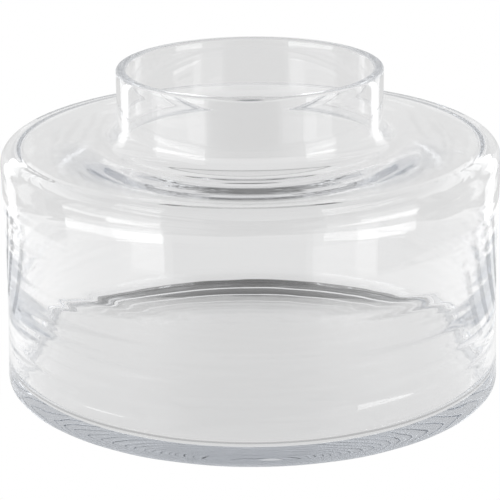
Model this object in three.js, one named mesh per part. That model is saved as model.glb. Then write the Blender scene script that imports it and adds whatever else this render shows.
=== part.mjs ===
// A glass cylinder vase: a wide, low cylinder with a heavy floor, a nearly level shoulder
// and a short, wide neck with a flat-cut rim.
//
// The vase is one piece of glass, blown in a mould and then cut and polished, so the group
// holds one mesh. Its section is one closed outline, turned about the Z axis.
//
// Millimetres, +Z up. The origin is the centre of the foot, on the surface it stands on.

import * as THREE from "three";

// Driving dimensions, outside.
const HEIGHT = 161; // foot to rim
const FOOT_RADIUS = 126.2; // widest, just above the foot's rounded edge
const WAIST_RADIUS = 124.3; // the blown wall is drawn in to this at mid-height
const SHOULDER_RADIUS = 125; // wall where it meets the shoulder's rounding
const SHOULDER_HEIGHT = 123.3; // top of the shoulder, where its outer rounding ends
const SHOULDER_RISE = 2.8; // the shoulder climbs by this much towards the neck
const NECK_RADIUS = 66.3;

// Roundings of the outside.
const FOOT_EDGE = 2.5;
const SHOULDER_ROUNDING = 8.5;
const NECK_ROOT = 6.2; // hollow sweep from the shoulder into the neck
const RIM_EDGE = 1.4;

// The shallow hollow under the foot, which leaves a flat ring to stand on.
const HOLLOW_RADIUS = 118;
const HOLLOW_DEPTH = 3.6;
const HOLLOW_POWER = 2.5; // higher is flatter in the middle and steeper at the ring

// Inside: the floor, and the fillet where it meets the wall.
const FLOOR_HEIGHT = 6.6;
const FLOOR_RADIUS = 110.4;
const FILLET_WIDTH = 8.3;
const FILLET_HEIGHT = 6.5;

// Thickness of the wall: thin above, thicker by LOWER_EXTRA below, changing over the taper.
const UPPER_WALL = 3;
const LOWER_EXTRA = 4.3;
const TAPER_MIDDLE = 53;
const TAPER_SPREAD = 6.5;

// Thickness of the shoulder and the neck. The shoulder swells towards the neck.
const SHOULDER_WALL = 3.2;
const NECK_SWELL = 2.2;
const NECK_SWELL_REACH = 21;
const INNER_SHOULDER = 9.3; // rounding inside the shoulder's corner
const NECK_MOUTH = 12; // rounding where the neck's bore opens into the body
const NECK_WALL = 5; // at the rim
const NECK_WALL_LOW = 4.6; // at the mouth

// Faceting.
const TURN_SEGMENTS = 64;
const FINE = 6; // pieces of a large curve
const COARSE = 3; // pieces of a small one

const QUARTER_TURN = Math.PI / 2;

// Adds a curve given by two formulas of the share t of its length, from 0 to 1.
function addCurve(outline, radiusAt, heightAt, pieces) {
  for (let i = 1; i <= pieces; i += 1) {
    const t = i / pieces;
    outline.push(new THREE.Vector2(radiusAt(t), heightAt(t)));
  }
}

// Adds a quarter of an ellipse about a centre. A turn of 1 is anticlockwise, and -1 clockwise.
function addQuarter(outline, centre, width, height, startAngle, turn, pieces) {
  const angleAt = (t) => startAngle + turn * QUARTER_TURN * t;
  addCurve(
    outline,
    (t) => centre.radius + width * Math.cos(angleAt(t)),
    (t) => centre.height + height * Math.sin(angleAt(t)),
    pieces,
  );
}

// The outer wall: a parabola through the foot's edge, the waist and the start of the shoulder.
const wallTop = SHOULDER_HEIGHT - SHOULDER_ROUNDING;
function outerRadius(height) {
  const t = (height - FOOT_EDGE) / (wallTop - FOOT_EDGE);
  const atFoot = FOOT_RADIUS * (1 - t) * (1 - 2 * t);
  const atWaist = WAIST_RADIUS * 4 * t * (1 - t);
  const atShoulder = SHOULDER_RADIUS * t * (2 * t - 1);
  return atFoot + atWaist + atShoulder;
}

function wallThickness(height) {
  return UPPER_WALL + LOWER_EXTRA / (1 + Math.exp((height - TAPER_MIDDLE) / TAPER_SPREAD));
}

// The top of the shoulder climbs steadily from its outer rounding to the neck's root.
const shoulderEnd = SHOULDER_RADIUS - SHOULDER_ROUNDING;
const rootEnd = NECK_RADIUS + NECK_ROOT;
function shoulderHeight(radius) {
  const share = (shoulderEnd - radius) / (shoulderEnd - rootEnd);
  return SHOULDER_HEIGHT + SHOULDER_RISE * share;
}

// The underside of the shoulder.
const lowBore = NECK_RADIUS - NECK_WALL_LOW;
const mouthEnd = lowBore + NECK_MOUTH;
function ceilingHeight(radius) {
  const reach = (radius - mouthEnd) / NECK_SWELL_REACH;
  return shoulderHeight(radius) - SHOULDER_WALL - NECK_SWELL * Math.exp(-reach * reach);
}

// The outside, from the centre of the hollow up to the top of the rim.
function addOutside(outline) {
  outline.push(new THREE.Vector2(0, HOLLOW_DEPTH));
  addCurve(
    outline,
    (t) => HOLLOW_RADIUS * t,
    (t) => HOLLOW_DEPTH * (1 - t ** HOLLOW_POWER),
    8,
  );

  const footCentre = { radius: FOOT_RADIUS - FOOT_EDGE, height: FOOT_EDGE };
  outline.push(new THREE.Vector2(footCentre.radius, 0));
  addQuarter(outline, footCentre, FOOT_EDGE, FOOT_EDGE, -QUARTER_TURN, 1, COARSE);

  const wallHeightAt = (t) => FOOT_EDGE + (wallTop - FOOT_EDGE) * t;
  addCurve(outline, (t) => outerRadius(wallHeightAt(t)), wallHeightAt, FINE);
  const shoulderCentre = { radius: shoulderEnd, height: wallTop };
  addQuarter(outline, shoulderCentre, SHOULDER_ROUNDING, SHOULDER_ROUNDING, 0, 1, FINE);

  const rootHeight = SHOULDER_HEIGHT + SHOULDER_RISE;
  outline.push(new THREE.Vector2(rootEnd, rootHeight));
  const rootCentre = { radius: rootEnd, height: rootHeight + NECK_ROOT };
  addQuarter(outline, rootCentre, NECK_ROOT, NECK_ROOT, -QUARTER_TURN, -1, FINE);

  const rimCentre = { radius: NECK_RADIUS - RIM_EDGE, height: HEIGHT - RIM_EDGE };
  outline.push(new THREE.Vector2(NECK_RADIUS, rimCentre.height));
  addQuarter(outline, rimCentre, RIM_EDGE, RIM_EDGE, 0, 1, COARSE);
}

// The inside, from the top of the rim down to the centre of the floor.
function addInside(outline) {
  const bore = NECK_RADIUS - NECK_WALL;
  const rimCentre = { radius: bore + RIM_EDGE, height: HEIGHT - RIM_EDGE };
  outline.push(new THREE.Vector2(rimCentre.radius, HEIGHT));
  addQuarter(outline, rimCentre, RIM_EDGE, RIM_EDGE, QUARTER_TURN, 1, COARSE);

  const mouthCentre = { radius: mouthEnd, height: ceilingHeight(mouthEnd) + NECK_MOUTH };
  outline.push(new THREE.Vector2(lowBore, mouthCentre.height));
  addQuarter(outline, mouthCentre, NECK_MOUTH, NECK_MOUTH, 2 * QUARTER_TURN, 1, FINE);

  const innerTop = SHOULDER_HEIGHT - SHOULDER_WALL - INNER_SHOULDER;
  const ceilingEnd = outerRadius(innerTop) - wallThickness(innerTop) - INNER_SHOULDER;
  const ceilingRadiusAt = (t) => mouthEnd + (ceilingEnd - mouthEnd) * t;
  addCurve(outline, ceilingRadiusAt, (t) => ceilingHeight(ceilingRadiusAt(t)), 8);
  const cornerCentre = { radius: ceilingEnd, height: innerTop };
  const cornerHeight = ceilingHeight(ceilingEnd) - innerTop;
  addQuarter(outline, cornerCentre, INNER_SHOULDER, cornerHeight, QUARTER_TURN, -1, FINE);

  // The wall follows its thickness down, and is drawn in to meet the fillet.
  const filletTop = FLOOR_HEIGHT + FILLET_HEIGHT;
  const freeRadius = (height) => outerRadius(height) - wallThickness(height);
  const drawIn = freeRadius(filletTop) - (FLOOR_RADIUS + FILLET_WIDTH);
  const innerHeightAt = (t) => innerTop + (filletTop - innerTop) * t;
  addCurve(
    outline,
    (t) => {
      const height = innerHeightAt(t);
      return freeRadius(height) - drawIn * Math.exp((filletTop - height) / TAPER_SPREAD);
    },
    innerHeightAt,
    12,
  );
  const filletCentre = { radius: FLOOR_RADIUS, height: filletTop };
  addQuarter(outline, filletCentre, FILLET_WIDTH, FILLET_HEIGHT, 0, -1, FINE);
  outline.push(new THREE.Vector2(0, FLOOR_HEIGHT));
}

// LatheGeometry turns its outline about Y, so the solid is stood up along Z afterwards.
function turnedSolid() {
  const outline = [];
  addOutside(outline);
  addInside(outline);
  const geometry = new THREE.LatheGeometry(outline, TURN_SEGMENTS);
  geometry.rotateX(QUARTER_TURN);
  return geometry;
}

const clearGlass = new THREE.MeshStandardMaterial({
  color: 0xe9eff1,
  roughness: 0.03,
  metalness: 0,
  transparent: true,
  opacity: 0.35,
});

const vaseGlass = new THREE.Mesh(turnedSolid(), clearGlass);
vaseGlass.name = "vase_glass";

const vase = new THREE.Group();
vase.add(vaseGlass);

export default vase;
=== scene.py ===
"""A clear glass cylinder vase in a white studio.

The vase is one piece of mould-blown glass: a finely turned mesh that stands for the CAD
solid, with the slight lean, waist and ripples of blown glass. Metres, +Z up.
"""

import math

import bpy
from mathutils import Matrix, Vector


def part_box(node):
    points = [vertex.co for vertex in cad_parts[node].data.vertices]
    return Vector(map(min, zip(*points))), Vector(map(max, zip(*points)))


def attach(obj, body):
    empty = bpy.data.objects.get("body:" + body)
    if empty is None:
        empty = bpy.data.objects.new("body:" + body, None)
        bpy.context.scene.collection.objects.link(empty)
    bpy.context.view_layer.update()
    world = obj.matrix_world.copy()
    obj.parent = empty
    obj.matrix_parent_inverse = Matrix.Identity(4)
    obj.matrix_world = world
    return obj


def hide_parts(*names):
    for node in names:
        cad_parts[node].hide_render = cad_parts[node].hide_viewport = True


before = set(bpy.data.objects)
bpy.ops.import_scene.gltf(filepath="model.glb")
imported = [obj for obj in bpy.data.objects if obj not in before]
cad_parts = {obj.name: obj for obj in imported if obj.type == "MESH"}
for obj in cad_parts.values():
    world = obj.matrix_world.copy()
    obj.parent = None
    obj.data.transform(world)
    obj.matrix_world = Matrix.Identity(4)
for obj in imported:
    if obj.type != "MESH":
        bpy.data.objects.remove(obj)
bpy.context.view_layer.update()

MM = 0.001
QUARTER_TURN = math.pi / 2

# Outside of the glass. The foot's radius and the height come from the frame, less a little
# that keeps the leaning glass inside the CAD model's box.
FOOT_CLEARANCE = 0.2 * MM
RIM_CLEARANCE = 0.7 * MM
cad_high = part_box("vase_glass")[1]
FOOT_RADIUS = cad_high.x - FOOT_CLEARANCE
RIM_HEIGHT = cad_high.z - RIM_CLEARANCE
WAIST_RADIUS = 124.3 * MM
SHOULDER_RADIUS = 125.0 * MM
SHOULDER_HEIGHT = 123.3 * MM
SHOULDER_RISE = 2.8 * MM
NECK_RADIUS = 66.3 * MM
FOOT_EDGE = 2.5 * MM
SHOULDER_ROUNDING = 8.5 * MM
NECK_ROOT = 6.2 * MM
RIM_EDGE = 1.4 * MM

# The hollow pressed up under the foot.
HOLLOW_RADIUS = 118 * MM
HOLLOW_DEPTH = 3.6 * MM
HOLLOW_POWER = 2.5

# Inside of the glass.
FLOOR_RADIUS = 110.4 * MM
FLOOR_HEIGHT = 6.6 * MM
FILLET_WIDTH = 8.3 * MM
FILLET_HEIGHT = 6.5 * MM
UPPER_WALL = 3.0 * MM
LOWER_WALL_EXTRA = 4.3 * MM
TAPER_MIDDLE = 53 * MM
TAPER_SPREAD = 6.5 * MM
SHOULDER_WALL = 3.2 * MM
NECK_SWELL = 2.2 * MM
NECK_SWELL_REACH = 21 * MM
INNER_SHOULDER = 9.3 * MM
NECK_MOUTH = 12 * MM
NECK_WALL = 5.0 * MM
NECK_WALL_LOW = 4.6 * MM

LEAN = 0.0099  # the body leans towards -X by this much of its height
LEAN_START = 20 * MM  # the level rings tip over to the full lean by this height
TURN_SEGMENTS = 288


class Outline:
    """A section of the glass as points (radius, height), drawn as runs and arcs."""

    def __init__(self, radius, height):
        self.points = [(radius, height)]

    def line(self, radius, height, steps):
        start_radius, start_height = self.points[-1]
        for i in range(1, steps + 1):
            t = i / steps
            self.points.append(
                (start_radius + (radius - start_radius) * t, start_height + (height - start_height) * t)
            )

    def arc(self, radius, height, across, up, start, sweep, steps):
        for i in range(1, steps + 1):
            angle = start + sweep * i / steps
            self.points.append((radius + across * math.cos(angle), height + up * math.sin(angle)))

    def follow(self, radius_at, height_at, steps):
        for i in range(1, steps + 1):
            self.points.append((radius_at(i / steps), height_at(i / steps)))


def hollow_height(radius):
    share = min(radius / HOLLOW_RADIUS, 1)
    return HOLLOW_DEPTH * (1 - share**HOLLOW_POWER)


def outer_radius(height):
    """A parabola through the foot's edge, the waist and the start of the shoulder."""
    wall_top = SHOULDER_HEIGHT - SHOULDER_ROUNDING
    t = (height - FOOT_EDGE) / (wall_top - FOOT_EDGE)
    return (
        FOOT_RADIUS * (1 - t) * (1 - 2 * t)
        + WAIST_RADIUS * 4 * t * (1 - t)
        + SHOULDER_RADIUS * t * (2 * t - 1)
    )


def wall_thickness(height):
    return UPPER_WALL + LOWER_WALL_EXTRA / (1 + math.exp((height - TAPER_MIDDLE) / TAPER_SPREAD))


def shoulder_height(radius):
    """The top of the shoulder, which climbs steadily from its outer rounding to the neck."""
    outer_end = SHOULDER_RADIUS - SHOULDER_ROUNDING
    inner_end = NECK_RADIUS + NECK_ROOT
    return SHOULDER_HEIGHT + SHOULDER_RISE * (outer_end - radius) / (outer_end - inner_end)


def ceiling_height(radius):
    """The underside of the shoulder. The glass swells smoothly towards the neck."""
    reach = (radius - (NECK_RADIUS - NECK_WALL_LOW + NECK_MOUTH)) / NECK_SWELL_REACH
    return shoulder_height(radius) - SHOULDER_WALL - NECK_SWELL * math.exp(-reach * reach)


def outside_outline():
    """From the centre of the foot up to the top of the rim."""
    outline = Outline(0, HOLLOW_DEPTH)
    outline.follow(lambda t: HOLLOW_RADIUS * t, lambda t: hollow_height(HOLLOW_RADIUS * t), steps=24)
    outline.line(FOOT_RADIUS - FOOT_EDGE, 0, steps=5)
    outline.arc(
        FOOT_RADIUS - FOOT_EDGE, FOOT_EDGE, FOOT_EDGE, FOOT_EDGE, -QUARTER_TURN, QUARTER_TURN, steps=8
    )
    wall_top = SHOULDER_HEIGHT - SHOULDER_ROUNDING
    outline.follow(
        lambda t: outer_radius(FOOT_EDGE + (wall_top - FOOT_EDGE) * t),
        lambda t: FOOT_EDGE + (wall_top - FOOT_EDGE) * t,
        steps=40,
    )
    outline.arc(
        SHOULDER_RADIUS - SHOULDER_ROUNDING,
        wall_top,
        SHOULDER_ROUNDING,
        SHOULDER_ROUNDING,
        0,
        QUARTER_TURN,
        steps=12,
    )
    root_height = SHOULDER_HEIGHT + SHOULDER_RISE
    outline.line(NECK_RADIUS + NECK_ROOT, root_height, steps=18)
    outline.arc(
        NECK_RADIUS + NECK_ROOT,
        root_height + NECK_ROOT,
        NECK_ROOT,
        NECK_ROOT,
        -QUARTER_TURN,
        -QUARTER_TURN,
        steps=12,
    )
    outline.line(NECK_RADIUS, RIM_HEIGHT - RIM_EDGE, steps=6)
    outline.arc(
        NECK_RADIUS - RIM_EDGE, RIM_HEIGHT - RIM_EDGE, RIM_EDGE, RIM_EDGE, 0, QUARTER_TURN, steps=6
    )
    return outline.points


def inside_outline():
    """From the top of the rim down to the centre of the floor."""
    bore = NECK_RADIUS - NECK_WALL
    low_bore = NECK_RADIUS - NECK_WALL_LOW
    mouth_end = low_bore + NECK_MOUTH
    inner_ceiling = ceiling_height(mouth_end)
    wall_top = SHOULDER_HEIGHT - SHOULDER_WALL - INNER_SHOULDER
    wall = outer_radius(wall_top) - wall_thickness(wall_top)
    fillet_top = FLOOR_HEIGHT + FILLET_HEIGHT
    fillet_radius = FLOOR_RADIUS + FILLET_WIDTH
    outline = Outline(bore + RIM_EDGE, RIM_HEIGHT)
    outline.arc(
        bore + RIM_EDGE, RIM_HEIGHT - RIM_EDGE, RIM_EDGE, RIM_EDGE, QUARTER_TURN, QUARTER_TURN, steps=6
    )
    outline.line(low_bore, inner_ceiling + NECK_MOUTH, steps=6)
    outline.arc(
        low_bore + NECK_MOUTH,
        inner_ceiling + NECK_MOUTH,
        NECK_MOUTH,
        NECK_MOUTH,
        math.pi,
        QUARTER_TURN,
        steps=10,
    )
    ceiling_end = wall - INNER_SHOULDER
    outline.follow(
        lambda t: mouth_end + (ceiling_end - mouth_end) * t,
        lambda t: ceiling_height(mouth_end + (ceiling_end - mouth_end) * t),
        steps=56,
    )
    outer_ceiling = ceiling_height(ceiling_end)
    outline.arc(
        ceiling_end,
        outer_ceiling - INNER_SHOULDER,
        INNER_SHOULDER,
        INNER_SHOULDER,
        QUARTER_TURN,
        -QUARTER_TURN,
        steps=8,
    )

    def inner_height(t):
        return wall_top + (fillet_top - wall_top) * t

    def inner_radius(t):
        height = inner_height(t)
        free = outer_radius(height) - wall_thickness(height)
        meeting = math.exp(-(height - fillet_top) / TAPER_SPREAD)
        foot_gap = outer_radius(fillet_top) - wall_thickness(fillet_top) - fillet_radius
        return free - foot_gap * meeting

    outline.follow(inner_radius, inner_height, steps=92)
    outline.arc(FLOOR_RADIUS, fillet_top, FILLET_WIDTH, FILLET_HEIGHT, 0, -QUARTER_TURN, steps=12)
    outline.line(0, FLOOR_HEIGHT, steps=12)
    return outline.points


def smooth_step(start, end, value):
    """Rises smoothly from 0 at start to 1 at end. Start may be the larger of the two."""
    t = min(max((value - start) / (end - start), 0), 1)
    return t * t * (3 - 2 * t)


# Ripples in the inside of the wall: (spacing, waves round the vase, phase, depth).
# They run round the heavy lower wall, and only at two opposite sides do they reach the top.
RIPPLES = (
    (11.3 * MM, 3, 0.4, 0.09 * MM),
    (7.1 * MM, -5, 2.1, 0.06 * MM),
    (4.7 * MM, 8, 4.0, 0.03 * MM),
    (17.9 * MM, -2, 5.3, 0.08 * MM),
)
RIPPLE_TOP = 80 * MM
RIPPLE_FULL = 55 * MM
RIPPLE_FOOT = 12 * MM
RIPPLE_END = 24 * MM
SIDE_RIPPLE_TOP = 112 * MM
SIDE_RIPPLE_FULL = 90 * MM
SIDE_FOCUS = 6  # how narrowly the upper ripples keep to the two sides

# The inside of the wall leans in by this much just under the shoulder.
TOP_LEAN_IN = 0.9 * MM
TOP_LEAN_START = 104 * MM
TOP_LEAN_END = 116 * MM


def ripple(angle, height):
    round_share = smooth_step(RIPPLE_TOP, RIPPLE_FULL, height)
    side_share = smooth_step(SIDE_RIPPLE_TOP, SIDE_RIPPLE_FULL, height) * math.cos(angle) ** SIDE_FOCUS
    share = max(round_share, side_share) * smooth_step(RIPPLE_FOOT, RIPPLE_END, height)
    total = 0
    for spacing, waves, phase, depth in RIPPLES:
        total += depth * math.sin(math.tau * height / spacing + waves * angle + phase)
    return share * total


def lean_in(radius, height):
    """How far the inside of the wall leans in under the shoulder. It fades out on the ceiling."""
    wall_share = smooth_step(FLOOR_RADIUS, FLOOR_RADIUS + INNER_SHOULDER, radius)
    return wall_share * TOP_LEAN_IN * smooth_step(TOP_LEAN_START, TOP_LEAN_END, height)


# On the camera's side the underside of the shoulder sags a little and has a few shallow rings.
# The sag carries on up the inside of the neck, where it lowers the rounding inside the rim.
FRONT_SAG = 1.8 * MM
FRONT_SAG_REACH = 21 * MM
RING_SPACING = 5.2 * MM
RING_DEPTH = 0.06 * MM
RINGS_INNER = 70 * MM
RINGS_OUTER = 100 * MM
FRONT_FOCUS = 6  # how narrowly the sag keeps to the camera's side


def shoulder_sag(angle, radius):
    """How far the inside hangs below the even section, from the shoulder up to the rim."""
    front_share = max(-math.sin(angle), 0) ** FRONT_FOCUS
    reach = (radius - RINGS_INNER) / FRONT_SAG_REACH
    rings = smooth_step(RINGS_INNER, RINGS_INNER + RING_SPACING, radius)
    rings *= smooth_step(RINGS_OUTER, RINGS_OUTER - 2 * RING_SPACING, radius)
    sag = FRONT_SAG * math.exp(-reach * reach)
    return front_share * (sag + rings * RING_DEPTH * math.sin(math.tau * radius / RING_SPACING))


# Upright waves round the outside of the foot: (number of waves, phase).
FOOT_WAVES = ((23, 0.0), (14, 1.9))
FOOT_WAVE_DEPTH = 0.15 * MM
FOOT_WAVE_TOP = 18 * MM
FOOT_WAVE_FULL = 9 * MM


def foot_wave(angle, radius, height):
    """How far the outside of the foot lies inside the even section."""
    share = smooth_step(FOOT_WAVE_TOP, FOOT_WAVE_FULL, height)
    share *= smooth_step(HOLLOW_RADIUS, FOOT_RADIUS - FOOT_EDGE, radius)
    swing = sum(1 + math.sin(count * angle + phase) for count, phase in FOOT_WAVES)
    return share * FOOT_WAVE_DEPTH * swing / len(FOOT_WAVES)


def leaned(point):
    """The blown body leans a little to one side above its flat foot, and its rim with it."""
    share = min(point.z / LEAN_START, 1)
    return Vector((point.x - LEAN * point.z, point.y, point.z + LEAN * point.x * share))


def turned_mesh(name, outside, inside):
    """A closed mesh turned about Z, from an outline that starts and ends on the axis."""
    outline = outside + inside
    rings = outline[1:-1]
    first_inside = len(outside)  # the flat of the rim, with both its edges, counts as outside
    vertices = [Vector((0, 0, outline[0][1])), Vector((0, 0, outline[-1][1]))]
    for k, (radius, height) in enumerate(rings):
        for i in range(TURN_SEGMENTS):
            angle = math.tau * i / TURN_SEGMENTS
            reach = radius
            if k >= first_inside and radius > FLOOR_RADIUS:
                reach += ripple(angle, height) - lean_in(radius, height)
            level = height
            if k < first_inside and height > 0:
                reach -= foot_wave(angle, radius, height)
            if k >= first_inside and SHOULDER_HEIGHT - INNER_SHOULDER < height:
                level -= shoulder_sag(angle, radius)
            vertices.append(Vector((reach * math.cos(angle), reach * math.sin(angle), level)))

    def corner(ring, i):
        return 2 + ring * TURN_SEGMENTS + i % TURN_SEGMENTS

    faces = []
    last = len(rings) - 1
    for i in range(TURN_SEGMENTS):
        faces.append((0, corner(0, i + 1), corner(0, i)))
        faces.append((1, corner(last, i), corner(last, i + 1)))
        for ring in range(last):
            faces.append(
                (corner(ring, i), corner(ring, i + 1), corner(ring + 1, i + 1), corner(ring + 1, i))
            )
    mesh = bpy.data.meshes.new(name)
    mesh.from_pydata([leaned(v) for v in vertices], [], faces)
    mesh.shade_smooth()
    return mesh


def add_math(nodes, links, operation, *values):
    """A math node on sockets and plain numbers, and its result."""
    node = nodes.new("ShaderNodeMath")
    node.operation = operation
    for socket, value in zip(node.inputs, values):
        if isinstance(value, (int, float)):
            socket.default_value = value
        else:
            links.new(value, socket)
    return node.outputs[0]


def smooth_range(nodes, links, value, source, target):
    """Maps a value smoothly from one range to another, and holds it at the ends."""
    mapping = nodes.new("ShaderNodeMapRange")
    mapping.interpolation_type = "SMOOTHSTEP"
    mapping.inputs["From Min"].default_value = source[0]
    mapping.inputs["From Max"].default_value = source[1]
    mapping.inputs["To Min"].default_value = target[0]
    mapping.inputs["To Max"].default_value = target[1]
    links.new(value, mapping.inputs["Value"])
    return mapping.outputs["Result"]


# The fine waves of blown glass, and the faint dulling that handling leaves in patches.
WAVE_SCALE = 26
WAVE_DETAIL = 2
WAVE_STRENGTH = 0.3
WAVE_DEPTH = 0.4 * MM
HANDLING_SCALE = 18
HANDLING_DETAIL = 4
HANDLING_RANGE = (0.45, 0.75)
HANDLING_ROUGHNESS = 0.004
GLASS_IOR = 1.5
GLASS_TINT = (0.78, 0.80, 0.83, 1)
TINT_DENSITY = 8.0


def clear_glass():
    material = bpy.data.materials.new("clear_glass")
    material.use_nodes = True
    nodes = material.node_tree.nodes
    links = material.node_tree.links
    shader = nodes["Principled BSDF"]
    shader.inputs["Base Color"].default_value = (1, 1, 1, 1)
    shader.inputs["Roughness"].default_value = 0.0
    shader.inputs["IOR"].default_value = GLASS_IOR
    shader.inputs["Transmission Weight"].default_value = 1.0
    place = nodes.new("ShaderNodeTexCoord")
    waves = nodes.new("ShaderNodeTexNoise")
    waves.inputs["Scale"].default_value = WAVE_SCALE
    waves.inputs["Detail"].default_value = WAVE_DETAIL
    links.new(place.outputs["Object"], waves.inputs["Vector"])
    bump = nodes.new("ShaderNodeBump")
    bump.inputs["Strength"].default_value = WAVE_STRENGTH
    bump.inputs["Distance"].default_value = WAVE_DEPTH
    links.new(waves.outputs["Fac"], bump.inputs["Height"])
    links.new(bump.outputs["Normal"], shader.inputs["Normal"])
    handling = nodes.new("ShaderNodeTexNoise")
    handling.inputs["Scale"].default_value = HANDLING_SCALE
    handling.inputs["Detail"].default_value = HANDLING_DETAIL
    links.new(place.outputs["Object"], handling.inputs["Vector"])
    polish = smooth_range(nodes, links, handling.outputs["Fac"], HANDLING_RANGE, (0, HANDLING_ROUGHNESS))
    links.new(polish, shader.inputs["Roughness"])
    absorption = nodes.new("ShaderNodeVolumeAbsorption")
    absorption.inputs["Color"].default_value = GLASS_TINT
    absorption.inputs["Density"].default_value = TINT_DENSITY
    links.new(absorption.outputs["Volume"], nodes["Material Output"].inputs["Volume"])
    return material


def make_vase():
    mesh = turned_mesh("vase", outside_outline(), inside_outline())
    vase = bpy.data.objects.new("vase", mesh)
    bpy.context.scene.collection.objects.link(vase)
    mesh.materials.append(clear_glass())
    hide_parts("vase_glass")
    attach(vase, "root")


def glow_material(name, brightness, camera_brightness=None):
    """A plain glow. With camera_brightness, the camera sees the surface at that brightness."""
    material = bpy.data.materials.new(name)
    material.use_nodes = True
    nodes = material.node_tree.nodes
    links = material.node_tree.links
    nodes.clear()
    output = nodes.new("ShaderNodeOutputMaterial")
    glow = nodes.new("ShaderNodeEmission")
    glow.inputs["Strength"].default_value = brightness
    links.new(glow.outputs[0], output.inputs["Surface"])
    if camera_brightness is not None:
        seen = nodes.new("ShaderNodeLightPath")
        mix = nodes.new("ShaderNodeMix")
        mix.name = "seen"
        mix.inputs["A"].default_value = brightness
        mix.inputs["B"].default_value = camera_brightness
        links.new(seen.outputs["Is Camera Ray"], mix.inputs["Factor"])
        links.new(mix.outputs["Result"], glow.inputs["Strength"])
    return material


def stage_piece(name, vertices, faces, material):
    mesh = bpy.data.meshes.new(name)
    mesh.from_pydata(vertices, [], faces)
    mesh.materials.append(material)
    piece = bpy.data.objects.new(name, mesh)
    bpy.context.scene.collection.objects.link(piece)
    return piece


# The table, in metres. Its glow carries painted light and shade: the vase's shadow under it, the
# softboxes' light to the sides and shade in the middle towards the camera. A reach runs from where a
# change of brightness starts to where it ends: from the vase outwards, aside from the middle, or
# towards the camera.
TABLE_RADIUS = 0.35
TABLE_SEGMENTS = 96
TABLE_GAP = 0.1 * MM  # the table lies this far below the foot's level, its strips as far above
# Painted shadow of the vase: the glow under the vase, dimmer than the open table beyond it.
VASE_SHADOW_BRIGHTNESS = 0.72
VASE_SHADOW_REACH = (0.10, 0.15)
OPEN_BRIGHTNESS = 0.80
# Painted light: the softboxes' light pooled on the table to either side.
SIDE_REACH = (0.08, 0.26)
PAINTED_SIDE_LIGHT = 0.45
# Painted shade: the middle of the table dimmed towards the camera.
MIDDLE_REACH = (0.03, 0.17)
PAINTED_MIDDLE_SHADE = 0.6
FRONT_REACH = (-0.13, -0.20)
# The line of shade under the foot's ring: where it sets in, where it ends, how dark it is.
CONTACT_INNER = (0.1165, 0.1185)
CONTACT_OUTER = (0.1235, 0.1260)
CONTACT_SHADE = 0.25


def make_table():
    """A round table top. The camera sees it as white as the studio behind it.

    Its glow has light and shade painted in: it is darker under the vase, as in the vase's shadow, and
    in front of the vase it is dim in the middle and bright to the sides, under the softboxes.
    """
    material = glow_material("table", VASE_SHADOW_BRIGHTNESS, 1.0)
    nodes = material.node_tree.nodes
    links = material.node_tree.links
    place = nodes.new("ShaderNodeTexCoord")
    split = nodes.new("ShaderNodeSeparateXYZ")
    links.new(place.outputs["Object"], split.inputs[0])
    aside = add_math(nodes, links, "ABSOLUTE", split.outputs["X"])
    length = nodes.new("ShaderNodeVectorMath")
    length.operation = "LENGTH"
    links.new(place.outputs["Object"], length.inputs[0])
    reach = length.outputs["Value"]
    # Painted shadow of the vase on the table, fading out away from the foot.
    painted_vase_shadow = smooth_range(nodes, links, reach, VASE_SHADOW_REACH, (VASE_SHADOW_BRIGHTNESS, OPEN_BRIGHTNESS))
    # Painted softbox light on the table to the sides.
    painted_side_light = smooth_range(nodes, links, aside, SIDE_REACH, (0, PAINTED_SIDE_LIGHT))
    # Painted shade in the middle of the table, towards the camera.
    middle = smooth_range(nodes, links, aside, MIDDLE_REACH, (-PAINTED_MIDDLE_SHADE, 0))
    frontness = smooth_range(nodes, links, split.outputs["Y"], FRONT_REACH, (0, 1))
    ring_inner = smooth_range(nodes, links, reach, CONTACT_INNER, (0, -CONTACT_SHADE))
    ring_outer = smooth_range(nodes, links, reach, CONTACT_OUTER, (1, 0))
    shaded = add_math(nodes, links, "MULTIPLY_ADD", ring_inner, ring_outer, painted_vase_shadow)
    lit = add_math(nodes, links, "ADD", shaded, painted_side_light)
    dimmed = add_math(nodes, links, "MULTIPLY_ADD", middle, frontness, lit)
    links.new(dimmed, nodes["seen"].inputs["A"])
    vertices = []
    for i in range(TABLE_SEGMENTS):
        angle = math.tau * i / TABLE_SEGMENTS
        vertices.append((TABLE_RADIUS * math.cos(angle), TABLE_RADIUS * math.sin(angle), -TABLE_GAP))
    stage_piece("table", vertices, [tuple(range(TABLE_SEGMENTS))], material)


# Light panels round the vase: (name, from azimuth, to azimuth, from elevation, to elevation,
# brightness). Azimuth 0 is the camera's side, and azimuths grow towards +X. The spills are
# what the softboxes throw on the ground outside the table.
PANELS = (
    ("softbox_left_low", -88, -38, -9, -6, 1.9),
    ("softbox_left", -88, -38, -6, 6, 4.2),
    ("softbox_left_top", -88, -38, 6, 28, 1.8),
    ("spill_left", -54, -38, -50, -9, 1.9),
    ("spill_left_far", -90, -54, -50, -9, 1.3),
    ("softbox_right_low", 47, 76, -9, -6, 1.9),
    ("softbox_right", 47, 76, -6, 6, 4.0),
    ("softbox_right_top", 47, 76, 6, 28, 1.7),
    ("spill_right", 47, 57, -50, -9, 1.75),
    ("spill_right_near", 27, 47, -50, -9, 1.3),
    ("card_back_left", -145, -132, -20, 16, 1.75),
    ("card_back_right", 131, 145, -20, 18, 1.7),
    # Painted shade: the ground on the camera's side, drawn as a dim panel.
    ("dim_front", -34, 24, -80, -2, 0.4),
)
PANEL_DISTANCE = 2.0
PANEL_STEP = 3  # degrees between a panel's rows and columns


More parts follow.
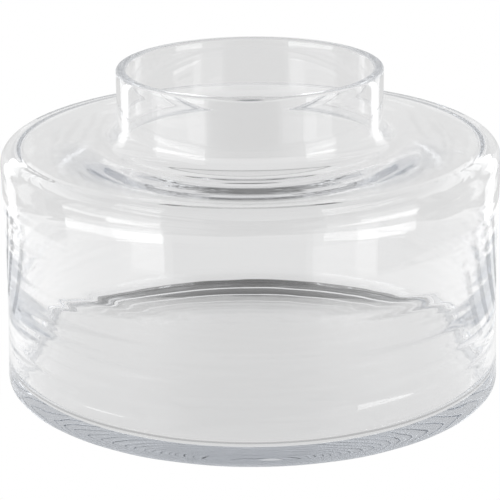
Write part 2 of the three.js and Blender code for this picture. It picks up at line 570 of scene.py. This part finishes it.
# Strips of painted shade laid on the table beside the vase: dim glows which draw the dark lines down
# its sides. The camera doesn't see them directly: (name, from azimuth, to azimuth, from distance,
# to distance).
SHADE_STRIPS = (
    ("strip_left_back", -134, -130, 0.20, 0.34),
    ("strip_left_middle", -126, -121, 0.19, 0.34),
    ("strip_left_front", -112, -108, 0.19, 0.32),
    ("strip_right_back", 126, 131, 0.20, 0.34),
    ("strip_right_middle", 115, 121, 0.19, 0.34),
    ("strip_right_front", 104, 108, 0.19, 0.34),
    ("strip_right_near", 94, 98, 0.19, 0.30),
)
SHADE_STRIP_BRIGHTNESS = 0.5
STRIP_STEPS = 4


def make_shade_strips():
    for name, start, end, near, far in SHADE_STRIPS:
        vertices = []
        for distance in (near, far):
            for i in range(STRIP_STEPS + 1):
                azimuth = math.radians(start + (end - start) * i / STRIP_STEPS)
                vertices.append((distance * math.sin(azimuth), -distance * math.cos(azimuth), TABLE_GAP))
        row = STRIP_STEPS + 1
        faces = [(i, i + 1, i + row + 1, i + row) for i in range(STRIP_STEPS)]
        # Each strip glows dimly: painted shade on the table.
        strip = stage_piece(name, vertices, faces, glow_material(name, SHADE_STRIP_BRIGHTNESS))
        strip.visible_camera = False


def make_panels():
    for name, start, end, low, high, brightness in PANELS:
        across = max(2, round((end - start) / PANEL_STEP))
        up = max(2, round((high - low) / PANEL_STEP))
        vertices = []
        for j in range(up + 1):
            elevation = math.radians(low + (high - low) * j / up)
            for i in range(across + 1):
                azimuth = math.radians(start + (end - start) * i / across)
                vertices.append(
                    (
                        PANEL_DISTANCE * math.cos(elevation) * math.sin(azimuth),
                        -PANEL_DISTANCE * math.cos(elevation) * math.cos(azimuth),
                        PANEL_DISTANCE * math.sin(elevation),
                    )
                )
        faces = []
        for j in range(up):
            for i in range(across):
                k = j * (across + 1) + i
                faces.append((k, k + 1, k + across + 2, k + across + 1))
        panel = stage_piece(name, vertices, faces, glow_material(name, brightness))
        panel.visible_camera = False


# Brightness of the studio by the sine of the elevation, on the camera's side and behind.
FRONT_RISE = (
    (0.0, 0.64), (0.2, 0.68), (0.4, 0.75), (0.6, 0.7), (0.75, 0.3), (0.9, 0.08), (1.0, 0.04),
)
BACK_RISE = (
    (0.0, 0.74), (0.03, 0.90), (0.17, 0.88), (0.3, 0.74),
    (0.6, 0.66), (0.74, 0.16), (0.9, 0.06), (1.0, 0.04),
)
# How much of the back's brightness each azimuth has: (azimuth from the camera's side, share).
BACK_SHARE = ((0, 0.0), (14, 0.1), (36, 0.75), (90, 0.85), (140, 1.0))


def add_ramp(nodes, stops):
    ramp = nodes.new("ShaderNodeValToRGB")
    elements = ramp.color_ramp.elements
    while len(elements) < len(stops):
        elements.new(0.5)
    for element, (position, value) in zip(elements, stops):
        element.position = position
        element.color = (value, value, value, 1)
    return ramp


def make_world():
    world = bpy.data.worlds.new("studio")
    bpy.context.scene.world = world
    world.use_nodes = True
    nodes = world.node_tree.nodes
    links = world.node_tree.links
    background = nodes["Background"]
    background.inputs["Color"].default_value = (1, 1, 1, 1)
    direction = nodes.new("ShaderNodeTexCoord")
    split = nodes.new("ShaderNodeSeparateXYZ")
    links.new(direction.outputs["Generated"], split.inputs[0])
    side = add_math(nodes, links, "ABSOLUTE", split.outputs["X"])
    front = add_math(nodes, links, "MULTIPLY", split.outputs["Y"], -1)
    azimuth = add_math(nodes, links, "ARCTAN2", side, front)
    share = add_math(nodes, links, "DIVIDE", azimuth, math.pi)
    around = add_ramp(nodes, [(a / 180, v) for a, v in BACK_SHARE])
    links.new(share, around.inputs[0])
    front_rise = add_ramp(nodes, FRONT_RISE)
    back_rise = add_ramp(nodes, BACK_RISE)
    links.new(split.outputs["Z"], front_rise.inputs[0])
    links.new(split.outputs["Z"], back_rise.inputs[0])
    blend = nodes.new("ShaderNodeMix")
    links.new(around.outputs["Color"], blend.inputs["Factor"])
    links.new(front_rise.outputs["Color"], blend.inputs["A"])
    links.new(back_rise.outputs["Color"], blend.inputs["B"])
    seen = nodes.new("ShaderNodeLightPath")
    mix = nodes.new("ShaderNodeMix")
    mix.inputs["B"].default_value = 1.0
    links.new(blend.outputs["Result"], mix.inputs["A"])
    links.new(seen.outputs["Is Camera Ray"], mix.inputs["Factor"])
    links.new(mix.outputs["Result"], background.inputs["Strength"])


SENSOR_WIDTH = 36  # millimetres, like the lens
CAMERA_LENS = 143.65
CAMERA_PITCH = 18.73  # degrees
CAMERA_DISTANCE = 1.0183
CAMERA_AIM = Vector((-1.42 * MM, 0, 63.8 * MM))
CAMERA_FAR = 100
LIGHT_BOUNCES = 64


def make_camera():
    camera = bpy.data.cameras.new("camera")
    camera.sensor_width = SENSOR_WIDTH
    camera.lens = CAMERA_LENS
    camera.clip_end = CAMERA_FAR
    holder = bpy.data.objects.new("camera", camera)
    bpy.context.scene.collection.objects.link(holder)
    pitch = math.radians(CAMERA_PITCH)
    holder.location = CAMERA_AIM + CAMERA_DISTANCE * Vector((0, -math.cos(pitch), math.sin(pitch)))
    holder.rotation_euler = (QUARTER_TURN - pitch, 0, 0)
    bpy.context.scene.camera = holder


def set_light_paths():
    scene = bpy.context.scene
    scene.view_settings.view_transform = "Standard"
    scene.cycles.max_bounces = LIGHT_BOUNCES
    scene.cycles.transmission_bounces = LIGHT_BOUNCES
    scene.cycles.glossy_bounces = LIGHT_BOUNCES


make_camera()
make_world()
make_table()
make_shade_strips()
make_panels()
make_vase()
set_light_paths()
